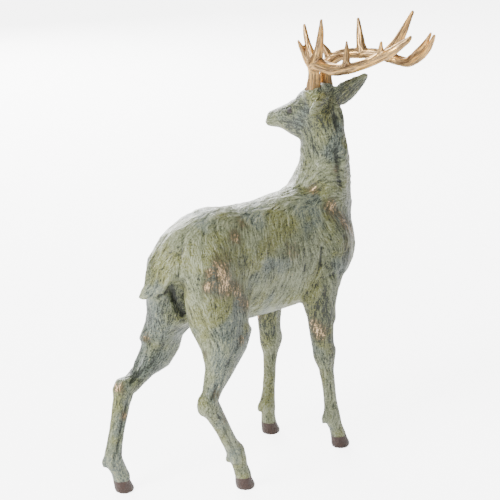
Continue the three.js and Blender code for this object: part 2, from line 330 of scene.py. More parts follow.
# %% Lines that lead the hair
BOTH_SIDES = [
    # spine, from the withers to the root of the tail
    [(84, 7, 280), (62, 6, 270), (20, 6, 266), (-30, 6, 268), (-70, 7, 272), (-98, 6, 260)],
    # collar round the foot of the neck, from the breast up to the withers
    [(138, 8, 258), (120, 24, 274), (100, 30, 284), (82, 22, 284), (62, 12, 272)],
    [(136, 18, 246), (114, 33, 262), (90, 32, 268), (66, 22, 264), (40, 16, 264)],
    # shoulder, forward and down to the point of the elbow
    [(62, 34, 246), (76, 42, 222), (84, 46, 200), (76, 46, 180)],
    [(96, 38, 246), (108, 38, 222), (108, 38, 200), (92, 42, 182)],
    # breast
    [(128, 16, 246), (138, 10, 220), (132, 10, 188), (112, 14, 166)],
    # flank, in three strokes
    [(34, 34, 252), (29, 42, 226), (26, 42, 196), (20, 30, 166)],
    [(0, 34, 252), (-4, 42, 226), (-10, 40, 192), (-16, 26, 164)],
    [(-34, 34, 256), (-42, 42, 232), (-46, 40, 206), (-48, 30, 182)],
    # haunch
    [(-62, 32, 262), (-66, 46, 232), (-64, 48, 200), (-66, 48, 172)],
    [(-90, 28, 258), (-94, 40, 228), (-95, 45, 196), (-92, 50, 164)],
    [(-112, 18, 248), (-118, 24, 222), (-112, 34, 192), (-104, 46, 160)],
    # belly
    [(60, 6, 152), (10, 6, 152), (-40, 6, 160), (-70, 10, 176)],
]
LEG_LINES = [
    [(64, -36, 170), (66, -38, 140), (68, -38, 106), (81, -38, 36), (91, -39, 0)],
    [(65, 36, 170), (69, 38, 140), (73, 38, 103), (69.5, 38.5, 32), (72, 39, 0)],
    [(-82, -40, 160), (-90.5, -41, 133), (-103, -41, 103), (-65, -41, 38), (-55, -41, 0)],
    [(-80, 40, 160), (-86, 41, 132), (-131, 42, 104), (-149.5, 42, 36), (-140, 40, 0)],
]
TAIL_LINE = [(-98, 0, 262), (-109, 0, 251), (-118, 1, 238), (-126, 5, 223), (-139, 14, 202)]
NECK_LINE = [(106, 3, 350), (107, 2, 334), (109, 0, 318), (109, -1, 300), (108, -1, 285)]
HEAD_LINES = [
    [(62, 0, -38), (45, 0, -30), (25, 0, -18), (5, 0, -2)],
    [(60, 6, -42), (40, 9, -38), (20, 14, -34), (0, 16, -34), (-8, 12, -52)],
    [(60, -6, -42), (40, -9, -38), (20, -14, -34), (0, -16, -34), (-8, -12, -52)],
    [(-14, 12, -10), (-16, 27, -10), (-18, 43, -7)],
    [(-12, -10, -9), (-18, -25, -3), (-23, -45, 8)],
]


# How far a line leads the hair round it, in millimetres
TRUNK_REACH, NECK_REACH, HEAD_REACH, LEG_REACH = 14, 8, 6, 4


# %% The way of the hair
def hair_lines():
    """Every stretch of every line, with how far it reaches."""
    groups = [
        ([[on_body(*p) for p in line] for line in BOTH_SIDES], TRUNK_REACH),
        ([[on_body(x, -y, z) for x, y, z in line] for line in BOTH_SIDES], TRUNK_REACH),
        ([[on_body(*p) for p in line] for line in LEG_LINES + [TAIL_LINE]], LEG_REACH),
        ([[on_body(*p) for p in NECK_LINE]], NECK_REACH),
        ([[on_head(*p) for p in line] for line in HEAD_LINES], HEAD_REACH),
    ]
    return [
        (a, b, reach) for lines, reach in groups for line in lines for a, b in zip(line, line[1:])
    ]


def lie_of_hair(points, normals):
    """The way the hair lies at each point, with the slight turns of handwork."""
    total = np.zeros_like(points)
    for start, end, reach in hair_lines():
        near = 1 / (to_segment(points, start, end) ** 2 + reach**2) ** 2
        total += near[:, None] * (end - start) / np.linalg.norm(end - start)
    lie = along_surface(total, normals)
    turn = 0.38 * grain(points, 17, SEED + 1) + 0.3 * grain(points, 8, SEED + 2)
    across = np.cross(normals, lie)
    return np.cos(turn)[:, None] * lie + np.sin(turn)[:, None] * across


print(len(hair_lines()), "stretches lead the hair")


# %% [markdown]
# ## Carving the coat
#
# Three sizes of stroke make the coat: locks about 6 mm wide, strokes of 3 mm, and the edge that a
# tool leaves where it digs in, with dents of the thumb between them. They are deep on the neck and
# breast, shallower on the trunk, slight on the legs, and absent from the hooves. A displacement
# texture could carve them too, but it wouldn't follow the hair. The cuts go inward on the whole, so
# that the figure keeps its outline.


# %% Softened skin
BELLY, NECK_TOP = (120, 160), (318, 338)
LITTLE, MUCH = 7, 20

on_trunk = step(raw[:, 2], *BELLY) * (1 - step(raw[:, 2], *NECK_TOP))
smooth_little = smooth_facets(skin, LITTLE)
smooth_much = smooth_facets(skin, MUCH)
skin.at = smooth_little + on_trunk[:, None] * (smooth_much - smooth_little)
normals = skin.normals()
hair = lie_of_hair(skin.at, normals)
print("smoothing moved the skin by up to", abs(skin.at - raw).max().round(2), "mm")


# %% Depth of the coat
# How deep the legs are cut, and how much more the trunk and the breast are
LEG_DEPTH, TRUNK_MORE, BREAST_MORE = 0.28, 0.42, 0.3
# Heights over which each zone begins, in millimetres
HOOF_ZONE, TRUNK_ZONE, BREAST_ZONE = (14, 22), (120, 165), (236, 285)
# The same on the head: ahead and up for the face, aside and up for the ears
FACE_ZONE = (-6, 14), (-58, -44)
EAR_ZONE = (15, 20), (-24, -16)


def deepness(points):
    """How deep the coat is cut, from 0 to 1."""
    height = points[:, 2]
    ahead, aside, up = in_head(points).T
    deep = LEG_DEPTH + TRUNK_MORE * step(height, *TRUNK_ZONE)
    deep += BREAST_MORE * step(height, *BREAST_ZONE)
    face = step(ahead, *FACE_ZONE[0]) * step(up, *FACE_ZONE[1])
    ears = step(abs(aside), *EAR_ZONE[0]) * step(up, *EAR_ZONE[1])
    deep = deep * (1 - 0.7 * face) * (1 - 0.6 * ears)
    return deep * step(height, *HOOF_ZONE)


# %% Coat
LOCK_WIDTH, STROKE_WIDTH, THUMB_WIDTH = 5.5, 2.6, 11
LOCK_REACH, STROKE_REACH, DIG_REACH = 14, 7, 8
# How deep each kind of mark is, in millimetres
LOCK, STROKE, THUMB, DAB, DIG, SUNK = 0.12, 0.2, 0.32, 0.28, 0.35, 0.1

depth = deepness(skin.at)
locks = streaks(skin.at, hair, LOCK_WIDTH, LOCK_REACH, SEED + 3)
strokes = streaks(skin.at, hair, STROKE_WIDTH, STROKE_REACH, SEED + 4)
digs = np.clip(-0.75 - streaks(skin.at, hair, STROKE_WIDTH, DIG_REACH, SEED + 5), 0, 1.4)
thumbed = grain(skin.at, THUMB_WIDTH, SEED + 6) + 0.6 * grain(skin.at, 6, SEED + 7)
dabs = grain(skin.at, STROKE_WIDTH, SEED + 8)
coat = depth * (
    LOCK * locks + STROKE * strokes + THUMB * thumbed + DAB * dabs - DIG * digs - SUNK
)
print("coat from", coat.min().round(2), "to", coat.max().round(2), "mm")


# %% [markdown]
# ## Folds and sinews
#
# Between the muscles run folds that the tool opened wider: behind the shoulder, down the haunch,
# beside and under the tail and up the neck. Each could be cut out of the solid, but the edges would
# be too sharp for clay, so each is a line with a width and a depth. The sinews behind the leg bones
# are set off by furrows on both sides of a leg, so those are measured from the bones.


# %% Folds
FOLDS = [
    # line on the right side, width, depth, and 1 where the left side has it too
    # down the haunch, and behind the shoulder
    ([(-92, -43, 224), (-95, -45, 212), (-99, -45, 190), (-98, -46, 172)], 2.2, 1.6, 1),
    ([(57, -44, 219), (55, -44, 205), (52, -43, 197), (45, -40, 179), (42, -35, 168)], 2.8, 2.4, 1),
    # the hollow between the thighs, and the lower edge of the tail
    ([(-104, -4, 208), (-103, 8, 203), (-98, 7, 192), (-92, 6, 181), (-86, 7, 168)], 4.2, 3.2, 0),
    ([(-114, -12, 216), (-104, 9, 204), (-106, 13, 199), (-110, 17, 195), (-118, 20, 191)],
     2.4, 2.6, 0),
    # the elbow, and in front of the thigh
    ([(83, -48, 189), (66, -47, 189), (57, -45, 185), (50, -43, 180)], 2.6, 1.2, 1),
    ([(-43, -28, 258), (-49, -35, 244), (-48, -39, 227), (-42, -38, 206), (-32, -33, 186)],
     4.5, 1.2, 1),
    # both sides of the tail
    ([(-101, -8, 262), (-108, -13, 256), (-114, -17, 246), (-119, -19, 230), (-121, -19, 220)],
     2.2, 1.0, 0),
    ([(-107, 9, 257), (-119, 12, 245), (-126, 14, 230), (-128, 16, 216)], 2.0, 1.2, 0),
    # both sides of the neck
    ([(104, -20, 338), (102, -22, 320), (100, -24, 306), (100, -27, 290), (102, -30, 272)],
     5.5, 2.4, 0),
    ([(104, 22, 338), (106, 22, 320), (110, 22, 306), (112, 22, 290)], 5.0, 2.0, 0),
    # the collar at the withers, in three folds
    ([(53, 3, 270), (70, -8, 274), (82, -21, 278), (94, -28, 273), (112, -29, 260)], 2.2, 0.9, 1),
    ([(60, -10, 268), (77, -21, 270), (87, -28, 266), (104, -32, 251)], 2.0, 0.8, 1),
    ([(78, 4, 284), (81, -13, 288), (90, -25, 285), (109, -29, 276)], 2.0, 0.8, 1),
    # the shoulder blade, and above the stifle
    ([(68, -40, 240), (72, -43, 229), (76, -46, 219)], 4.0, 1.2, 1),
    ([(-65, -51, 164), (-79, -53, 153), (-89, -54, 141), (-96, -52, 127)], 2.6, 0.9, 1),
]


def uneven(points, least):
    """A hand's pressure, that rises and falls by half along a cut."""
    return least + 0.5 * grain(points, 12, SEED + 13)


def fold_cuts(points):
    """How far the folds go in, with a slight lip on both sides."""
    cut = np.zeros(len(points))
    for line, width, deep, both in FOLDS:
        for side in (1, -1)[: 1 + both]:
            route = [on_body(x, y * side, z) for x, y, z in line]
            away = to_line(points, route) + 1.2 * grain(points, 7, SEED + 12)
            lip = 0.3 * bell(away - 2.2 * width, width)
            cut = np.maximum(cut, deep * (bell(away, width) - lip))
    return cut * uneven(points, 0.75)


# %% Sinews
FORE, HIND = LEG_LINES[:2], LEG_LINES[2:]
SINEWS = [
    # legs, stretches from and to, distance behind the bone at both ends, width, depth
    (HIND, 1.3, 2.0, 4.0, 6.0, 2.0, 1.9),
    (HIND, 2.1, 2.95, 3.4, 3.8, 1.5, 1.5),
    (HIND, 0.2, 1.6, -6.0, -4.0, 2.4, 0.6),
    (FORE, 2.1, 2.95, 2.4, 2.8, 1.4, 0.8),
    (FORE, 0.3, 1.9, 4.0, 3.0, 2.2, 0.8),
    (FORE, 0.3, 1.9, -4.5, -4.0, 2.2, 0.6),
]
# No furrow reaches further from its own leg than this, in millimetres
LEG_ROOM = 26


def beside_bones(points, line):
    """Where each point is along a leg, how far from its bones and how far behind them."""
    route = [on_body(*place) for place in line]
    nearest = np.full(len(points), 1e9)
    along, behind = np.zeros(len(points)), np.zeros(len(points))
    for number, (start, end) in enumerate(zip(route, route[1:])):
        run = end - start
        part = np.clip((points - start) @ run / (run @ run), 0, 1)
        offset = points - start - part[:, None] * run
        away = np.linalg.norm(offset, axis=1)
        back = np.array([run[2], 0, -run[0]]) / np.hypot(run[0], run[2])
        closer = away < nearest
        nearest = np.where(closer, away, nearest)
        along = np.where(closer, number + part, along)
        behind = np.where(closer, offset @ back, behind)
    return along, nearest, behind


def sinew_cuts(points):
    """Furrows beside the sinews, on both sides of each leg."""
    cut = np.zeros(len(points))
    for legs, start, end, first, last, width, deep in SINEWS:
        for line in legs:
            along, away, behind = beside_bones(points, line)
            run = np.clip((along - start) / (end - start), 0, 1)
            begun = step(along, start - 0.05, start + 0.15)
            ended = step(along, end - 0.12, end + 0.05)
            near = bell(behind - first - run * (last - first), width)
            cut = np.maximum(cut, deep * (begun * (1 - ended)) * near * (away < LEG_ROOM))
    return cut * uneven(points, 0.8)


# %% The split of the hooves
TOE_AHEAD, TOE_ROOM = 7, 14
SPLIT_WIDTH, SPLIT_DEPTH, SPLIT_TOP = 1.2, 1.2, (9, 13)


def hoof_cuts(points):
    """The upright split in front of each hoof."""
    cut = np.zeros(len(points))
    for line in LEG_LINES:
        x, y, _ = line[-1]
        toe = on_body(x + TOE_AHEAD, y, 0)
        off_middle = np.abs(points[:, 1] - toe[1]) + 3 * (points[:, 0] < toe[0])
        near = np.hypot(points[:, 0] - toe[0], points[:, 1] - toe[1]) < TOE_ROOM
        below = 1 - step(points[:, 2], *SPLIT_TOP)
        cut += SPLIT_DEPTH * near * bell(off_middle, SPLIT_WIDTH) * below
    return cut


folds = fold_cuts(skin.at)
sinews = sinew_cuts(skin.at)
skin.at += (coat - folds - sinews - hoof_cuts(skin.at))[:, None] * normals
print("deepest fold", folds.max().round(2), "mm, deepest sinew furrow", sinews.max().round(2), "mm")

# %% [markdown]
# ## The face
#
# The eyes are low domes between two lids. Above each one the brow makes a rough ridge, and the
# muzzle ends in two nostrils over the line of the mouth. Balls set into sockets would do for a
# large head. On a face of 6 cm everything is one skin, so it is raised and sunk by formulas.

# %% Eyes, nostrils and mouth
EYE = (24.9, 12.2, -22.4)
EYE_LONG, EYE_HIGH, EYE_DEEP = 4.6, 3.4, 6
EYE_SLANT = 0.12
BALL, EYE_GROOVE, LID, BROW = 1.1, 0.9, 0.7, 1.7
BROW_UP, BROW_LONG, BROW_HIGH = 6.5, 7, 2.6
NOSTRIL_AHEAD, NOSTRIL_UP, NOSTRIL_WIDTH, NOSTRIL_DEPTH = 59.5, -36.5, 1.9, 1.6
MOUTH_WIDTH, MOUTH_DEPTH = 1.0, 1.0
MOUTH = [(63, 0, -42.5), (57, 6, -42), (46, 8.5, -39.5)]


def face_cuts(points):
    """How far the face stands out from the smooth skin, in millimetres."""
    head = in_head(points)
    rise = np.zeros(len(points))
    for side in (1, -1):
        ahead = head[:, 0] - EYE[0]
        up = head[:, 2] - EYE[2] + EYE_SLANT * ahead
        ring = np.hypot(ahead / EYE_LONG, up / EYE_HIGH)
        near = (head[:, 1] * side > 4) & (ring < 3)
        ball = BALL * np.sqrt(np.clip(1 - ring**2, 0, 1)) - EYE_GROOVE * bell(ring - 1.02, 0.16)
        lids = LID * bell(ring - 1.42, 0.22)
        brow = BROW * bell(np.hypot(ahead / BROW_LONG, (up - BROW_UP) / BROW_HIGH), 1)
        rise += near * (ball + lids + brow)
        nostril = np.hypot(head[:, 0] - NOSTRIL_AHEAD, (head[:, 2] - NOSTRIL_UP) * 0.8)
        rise -= NOSTRIL_DEPTH * bell(nostril, NOSTRIL_WIDTH) * step(head[:, 1] * side, 1.2, 2.6)
        mouth = [on_head(ahead, left * side, up) for ahead, left, up in MOUTH]
        rise -= MOUTH_DEPTH * bell(to_line(points, mouth), MOUTH_WIDTH)
    return rise


face = face_cuts(skin.at)
skin.at += face[:, None] * skin.normals()
print("the face rises by", face.max().round(2), "and sinks by", -face.min().round(2), "mm")

# %% Flat soles
SOLE = 0.7

skin.at[:, 2] = np.maximum(skin.at[:, 2], 0)
skin.at[raw[:, 2] < SOLE, 2] = 0
print((skin.at[:, 2] == 0).sum(), "points of the hooves are on the ground")

# %% [markdown]
# ## What the paint follows
#
# The patina is dark in the hollows and light on the ridges, so the material has to know how deep
# each spot lies. Copper shows where the green was rubbed away: on the haunch, the flank, the
# withers and the fore arm. Elsewhere the painter left paler and darker patches, and olive and
# blue-grey ones. The paler and darker patches also carry painted light and shade: paler on the lit
# back and rump, darker on the shaded breast, fore arm, neck, head, far hind leg and between the
# thighs. A painted picture could hold all this, but it would need the skin laid flat. A few
# places with a reach say as much, and everything is kept on the mesh as attributes.

# %% Rubbed places
RUBBED = [
    # place on the right side, reach, strength
    # haunch
    ((-91, -38, 237), 7, 0.5),
    ((-86, -43, 228), 8, 0.8),
    ((-84, -46, 214), 12, 1.0),
    ((-101, -40, 229), 5, 1.0),
    ((-103, -40, 216), 6, 1.1),
    ((-67, -45, 206), 9, 0.7),
    ((-60, -45, 192), 10, 0.6),
    ((-48, -43, 186), 6, 0.8),
    # loin and flank
    ((-56, -32, 253), 8, 0.8),
    ((-39, -26, 262), 8, 0.6),
    ((-75, -40, 240), 10, 0.4),
    ((15, -43, 225), 12, 0.45),
    ((-14, -38, 236), 9, 0.3),
    # withers, shoulder and neck
    ((74, -17, 269), 7, 0.8),
    ((84, -31, 252), 9, 1.0),
    ((98, -36, 235), 10, 0.9),
    ((112, -33, 222), 12, 0.7),
    ((92, -46, 214), 8, 0.5),
    ((101, -42, 196), 8, 0.6),
    ((97, -27, 286), 6, 0.5),
    # fore arm
    ((55, -44, 131), 8, 1.0),
    ((50, -39, 141), 8, 0.7),
    # hocks and thighs
    ((-144, 39, 108), 6, 0.9),
    ((-141, 35, 79), 5, 0.9),
    ((-108, 37, 149), 5, 0.7),
    ((-68, -51, 157), 8, 0.6),
    ((-102, -50, 111), 7, 0.5),
    ((-88, -48, 85), 8, 0.5),
]


def rubbed(points):
    """Where the copper comes through, from 0 to 1, alike on both sides."""
    total = np.zeros(len(points))
    for (x, y, z), reach, strength in RUBBED:
        for side in (1, -1):
            away = np.linalg.norm(points - on_body(x, y * side, z), axis=1)
            total += strength * bell(away, reach)
    return np.clip(total, 0, 1)


copper = rubbed(skin.at)
skin.keep("rubbed", copper)
print("copper on", round(100 * (copper > 0.5).mean(), 1), "percent of the skin")

# %% Patches of paint, and painted light and shade
BODY_TONE_AND_SHADE = [
    # the paleness is partly the paint's own and partly painted light and shade: paler on the lit
    # back, rump and haunch, darker on the shaded breast, shoulder and fore arm
    # place on the right side, reach, pale (1) or dark (-1), blue-grey (1) or olive (-1)
    # rump, haunch and back
    ((-98, -17, 259), 13, 0.7, 0.5),
    ((-68, -17, 269), 18, 0.2, 0.7),
    ((-107, -27, 239), 14, 0.8, -0.9),
    ((-122, -8, 232), 14, 0.0, -1.0),
    ((-108, -34, 205), 12, 0.4, 0.1),
    ((-82, -45, 214), 12, 0.4, -0.2),
    ((-15, -18, 264), 26, 0.35, 0.2),
    ((30, -14, 262), 22, 0.3, 0.2),
    ((-80, -48, 196), 10, -0.2, -0.5),
    ((-80, -50, 168), 14, -0.1, 0.8),
    ((-57, -46, 188), 10, -0.7, -0.4),
    ((-56, -40, 222), 13, -0.4, -0.8),
    # flank and shoulder
    ((4, -38, 240), 20, -0.1, -0.6),
    ((8, -29, 169), 22, 0.5, -0.1),
    ((71, -48, 196), 15, -0.6, 1.0),
    ((63, -42, 230), 14, 0.1, -0.8),
    ((94, -46, 200), 13, -0.8, 0.3),
    ((93, -43, 227), 12, -0.4, 0.0),
    # legs
    ((53, -44, 160), 17, -1.0, -0.3),
    ((57, -44, 134), 20, -1.0, -0.3),
    ((66, -40, 104), 15, -0.4, 0.2),
    ((-80, -44, 140), 14, 0.2, -0.4),
]
ONE_SIDE = [
    # place, reach, pale or dark, blue-grey or olive: neck, tail, left hind leg and between the thighs
    # their darkness is painted shade
    ((100, 0, 322), 34, -0.35, 0.1),
    ((-126, 4, 225), 16, -0.45, -1.0),
    ((-92, 36, 165), 26, -1.0, 1.0),
    ((-112, 42, 122), 22, -1.0, 0.5),
    ((-142, 42, 75), 18, -0.5, 0.2),
    ((-92, 8, 190), 14, -0.9, 0.3),
]
HEAD_TONE_AND_SHADE = [
    # place in the head's frame, reach, pale or dark, blue-grey or olive
    # the darkness is partly the paint's own and partly painted shade over the head, the ear and round
    # the eye
    ((-18, -30, -2), 28, -1.2, -0.1),
    ((-16, 22, -9), 12, -0.1, -1.0),
    ((26, 0, -14), 15, -0.8, 0.3),
    ((45, 0, -27), 13, -0.9, 0.4),
    ((46, 8, -44), 14, 0.3, -0.2),
    ((6, 16, -22), 10, -0.6, 0.9),
    ((-4, 14, -4), 10, -0.3, -0.5),
    ((2, 12, -34), 30, -0.65, 0.2),
    ((24.9, 12.2, -20), 7, -0.9, 0.2),
]


def tone_and_shade_at(points):
    """Which way the paint leans at each point: how pale it is and how blue. The paleness is partly
    painted light and shade.
    """
    pale, blue = np.zeros(len(points)), np.zeros(len(points))
    spots = [(on_head(*place), *rest) for place, *rest in HEAD_TONE_AND_SHADE]
    spots += [(on_body(*place), *rest) for place, *rest in ONE_SIDE]
    for (x, y, z), *rest in BODY_TONE_AND_SHADE:
        spots += [(on_body(x, y, z), *rest), (on_body(x, -y, z), *rest)]
    for place, reach, light, tint in spots:
        near = bell(np.linalg.norm(points - place, axis=1), reach)
        pale += light * near
        blue += tint * near
    return np.clip(pale, -1, 1), np.clip(blue, -1, 1)


pale, blue = tone_and_shade_at(skin.at)
# The paleness keeps painted light and shade as well as the paint's own paler and darker patches.
skin.keep("pale", pale)
skin.keep("blue", blue)
print("paleness from", pale.min().round(2), "to", pale.max().round(2))


# %% Hollows, ridges and marks of the tool
def hollows(skin, normals, rounds):
    """How deep each vertex lies below its surroundings, in millimetres."""
    return ((skin.soften(skin.at, rounds) - skin.at) * normals).sum(1)


FINE_HOLLOW, WIDE_HOLLOW = 0.35, 1.2

normals = skin.normals()
fine = np.clip(hollows(skin, normals, 3) / FINE_HOLLOW, -1, 1)
wide = np.clip(hollows(skin, normals, 14) / WIDE_HOLLOW, -1, 1)
skin.keep("lie", along_surface(hair, normals))
skin.keep("hollow", fine * 0.5 + wide * 0.5)
skin.keep("stroke", strokes)
skin.keep("lock", locks)
skin.keep("dab", dabs)
# The fold depth darkens the paint: partly dark ground left in the creases, partly painted shade.
skin.keep("fold", np.clip(folds / 2.8 + sinews / 1.8 + 0.25 * digs * depth, 0, 1))
print("deep hollows on", round(100 * (wide > 0.5).mean(), 1), "percent of the skin")


# %% Eyes as a mask
EYE_SIZE = (EYE_LONG, EYE_DEEP, EYE_HIGH)


def eye_mask(points):
    """1 on both eyes and 0 elsewhere."""
    head = in_head(points)
    middles = [(EYE[0], EYE[1] * side, EYE[2]) for side in (1, -1)]
    ring = [np.linalg.norm((head - middle) / EYE_SIZE, axis=1) for middle in middles]
    return 1 - step(np.min(ring, axis=0), 0.85, 1.05)


eyes = eye_mask(skin.at)
skin.keep("eye", eyes)
skin.write()
print((eyes > 0.5).sum(), "points are on the eyes")


# %% [markdown]
# ## Carving the antlers
#
# Real antler has fine furrows that run the length of the beam and every tine. The direction is read
# from the shape itself: round a rod the normals all stand across its axis, so the axis is the
# direction that the normals nearby point along least. Lines drawn by hand would say the same, but
# every tine would need one.


# %% Antler furrows
def rod_axis(skin, normals):
    """The direction of the beam or tine at each vertex."""
    products = np.einsum("ni,nj->nij", normals, normals).reshape(-1, 9)
    spread = skin.soften(products, 30).reshape(-1, 3, 3)
    return np.linalg.eigh(spread)[1][:, :, 0]


# Width, reach and depth of a furrow and of a tool's gouge, in millimetres
FURROW_WIDTH, GOUGE_WIDTH = 1.9, 1.5
FURROW_REACH, GOUGE_REACH = 9, 6
FURROW, GOUGE, ANTLER_SUNK = 0.16, 0.38, 0.12
ANTLER_HOLLOW = 0.16


def carve_antler(piece):
    """Furrows along an antler, and what its gilding reads."""
    skin = Skin(piece)
    skin.at = smooth_facets(skin, 12)
    normals = skin.normals()
    lie = along_surface(rod_axis(skin, normals), normals)
    furrows = streaks(skin.at, lie, FURROW_WIDTH, FURROW_REACH, SEED + 10)
    gouges = np.clip(-0.5 - streaks(skin.at, lie, GOUGE_WIDTH, GOUGE_REACH, SEED + 11), 0, 1.5)
    skin.at += (FURROW * furrows - GOUGE * gouges - ANTLER_SUNK)[:, None] * normals
    normals = skin.normals()
    skin.keep("lie", along_surface(lie, normals))
    skin.keep("furrow", furrows)
    skin.keep("hollow", np.clip(hollows(skin, normals, 3) / ANTLER_HOLLOW, -1, 1))
    skin.write()
    print(piece.name, "has furrows up to", (GOUGE * gouges.max()).round(2), "mm deep")


for piece in antlers.values():
    carve_antler(piece)


# %% [markdown]
# ## Nodes that several finishes share
#
# Both finishes show the marks of a brush. The effect draws a fine grain out along the hair or the
# furrow, as the carving does, so that the marks run the same way. It is built once, as a node group
# with named sockets, and each finish gives it a scale and a length of its own. The small helpers
# before it make a node and its links in one line, so that a finish reads like a recipe.


# %% Small helpers for node trees
def new_group(title, inputs, outputs):
    """An empty node group with named sockets."""
    tree = bpy.data.node_groups.new(title, "ShaderNodeTree")
    for name, kind, default in inputs:
        made = tree.interface.new_socket(name, in_out="INPUT", socket_type=kind)
        if default is not None:
            made.default_value = default
    for name, kind in outputs:
        tree.interface.new_socket(name, in_out="OUTPUT", socket_type=kind)
    return tree, tree.nodes.new("NodeGroupInput"), tree.nodes.new("NodeGroupOutput")


def connect(tree, target, value):
    """Sets a socket to a value, or links it to another socket."""
    if isinstance(value, bpy.types.NodeSocket):
        tree.links.new(value, target)
    else:
        target.default_value = value


def maths(tree, operation, *values):
    """A calculation on values or sockets."""
    node = tree.nodes.new("ShaderNodeMath")
    node.operation = operation
    for socket, value in zip(node.inputs, values):
        connect(tree, socket, value)
    return node.outputs[0]


def weighed(tree, total, *parts):
    """The total with each part added, times its weight."""
    for value, weight in parts:
        total = maths(tree, "MULTIPLY_ADD", value, weight, total)
    return total


def ranged(tree, value, low, high, to_low, to_high):
    """A value between low and high, spread smoothly over another range."""
    node = tree.nodes.new("ShaderNodeMapRange")
    node.interpolation_type = "SMOOTHSTEP"
    for name, part in zip(
        ("Value", "From Min", "From Max", "To Min", "To Max"), (value, low, high, to_low, to_high)
    ):
        connect(tree, node.inputs[name], part)
    return node.outputs["Result"]


def blend(tree, part, first, second):
    """First colour where part is 0, second where it is 1."""
    node = tree.nodes.new("ShaderNodeMix")
    node.data_type = "RGBA"
    connect(tree, node.inputs["Factor"], part)
    connect(tree, node.inputs["A"], first)
    connect(tree, node.inputs["B"], second)
    return node.outputs["Result"]


def speckle(tree, place, scale, detail):
    """A cloudy pattern in space, round 0.5."""
    node = tree.nodes.new("ShaderNodeTexNoise")
    connect(tree, node.inputs["Vector"], place)
    connect(tree, node.inputs["Scale"], scale)
    node.inputs["Detail"].default_value = detail
    return node.outputs["Fac"]


def read(tree, name):
    """An attribute that the carving left on the mesh."""
    node = tree.nodes.new("ShaderNodeAttribute")
    node.attribute_name = name
    return node


# %% Brush marks
SAMPLES = 7
CONTRAST = 2.6


def brush_marks():
    """Fine grain drawn out along a direction; gives a value round 0.5."""
    tree, given, result = new_group(
        "Brush marks",
        [
            ("Place", "NodeSocketVector", None),
            ("Lie", "NodeSocketVector", None),
            ("Marks per metre", "NodeSocketFloat", 700.0),
            ("Length", "NodeSocketFloat", 0.006),
        ],
        [("Marks", "NodeSocketFloat")],
    )
    total = 0.0
    for sample in range(SAMPLES):
        along = maths(tree, "MULTIPLY", given.outputs["Length"], sample / (SAMPLES - 1) - 0.5)
        shift = tree.nodes.new("ShaderNodeVectorMath")
        shift.operation = "SCALE"
        connect(tree, shift.inputs[0], given.outputs["Lie"])
        connect(tree, shift.inputs["Scale"], along)
        moved = tree.nodes.new("ShaderNodeVectorMath")
        connect(tree, moved.inputs[0], given.outputs["Place"])
        connect(tree, moved.inputs[1], shift.outputs[0])
        spot = speckle(tree, moved.outputs[0], given.outputs["Marks per metre"], 0.0)
        total = maths(tree, "ADD", spot, total)
    mean = maths(tree, "DIVIDE", total, float(SAMPLES))
    spread = maths(tree, "MULTIPLY_ADD", mean, CONTRAST, 0.5 - CONTRAST / 2)
    connect(tree, result.inputs["Marks"], spread)
    return tree


BRUSH_MARKS = brush_marks()
print("the brush marks are", len(BRUSH_MARKS.nodes), "nodes")


# %% Finishes that start alike
def place_marks(tree, place, lie, per_metre, length):
    """The brush marks, at a scale and a length."""
    node = tree.nodes.new("ShaderNodeGroup")
    node.node_tree = BRUSH_MARKS
    connect(tree, node.inputs["Place"], place)
    connect(tree, node.inputs["Lie"], lie)
    node.inputs["Marks per metre"].default_value = per_metre
    node.inputs["Length"].default_value = length
    return node.outputs["Marks"]


def begin_finish(title, effect, marks, kept):
    """A material with an effect that reads the carving: its brush marks and what the mesh keeps."""
    finish = bpy.data.materials.new(title)
    finish.use_nodes = True
    tree = finish.node_tree
    place = tree.nodes.new("ShaderNodeTexCoord").outputs["Object"]
    lie = read(tree, "lie").outputs["Vector"]
    coat = tree.nodes.new("ShaderNodeGroup")
    coat.node_tree = effect
    connect(tree, coat.inputs["Place"], place)
    for name, per_metre, length in marks:
        connect(tree, coat.inputs[name], place_marks(tree, place, lie, per_metre, length))
    for name in kept:
        connect(tree, coat.inputs[name], read(tree, name.lower()).outputs["Fac"])
    return finish, tree, place, coat


def end_finish(tree, coat, height, strength):
    """Links the effect to the shader, with its relief as a bump of some metres' height."""
    shader = tree.nodes["Principled BSDF"]
    bump = tree.nodes.new("ShaderNodeBump")
    bump.inputs["Distance"].default_value = height
    bump.inputs["Strength"].default_value = strength
    connect(tree, bump.inputs["Height"], coat.outputs["Relief"])
    connect(tree, shader.inputs["Base Color"], coat.outputs["Color"])
    connect(tree, shader.inputs["Roughness"], coat.outputs["Roughness"])
    connect(tree, shader.inputs["Normal"], bump.outputs["Normal"])
    return shader


# %% [markdown]
# ## The patina
#
# A painter lays dark grey-green first, drags sage green over it with a nearly dry brush so that the
# hollows stay dark, adds patches of olive and blue-grey, and rubs copper wax on the high places.
# The hooves are brown. The finish is made in the same order: each layer is a mask, worked out from
# noise, brush marks and what the mesh keeps, that lays one more colour over the last.

# %% Patina colours
DARK = (0.02, 0.026, 0.018, 1)
SAGE = (0.2, 0.22, 0.116, 1)
PALE = (0.42, 0.45, 0.28, 1)
OLIVE = (0.23, 0.235, 0.07, 1)
BLUE_GREY = (0.165, 0.2, 0.175, 1)
UMBER = (0.1, 0.083, 0.036, 1)
BRONZE = (0.33, 0.22, 0.1, 1)
COPPER = (0.95, 0.67, 0.38, 1)
HOOF = (0.07, 0.036, 0.026, 1)
EYE_DARK = (0.03, 0.025, 0.02, 1)


# %% Where each colour goes
# Grains to the metre
OLIVE_CLOUDS, BLUE_CLOUDS, PATCH_GRAINS, SPECK_GRAINS = 34.0, 22.0, 60.0, 760.0
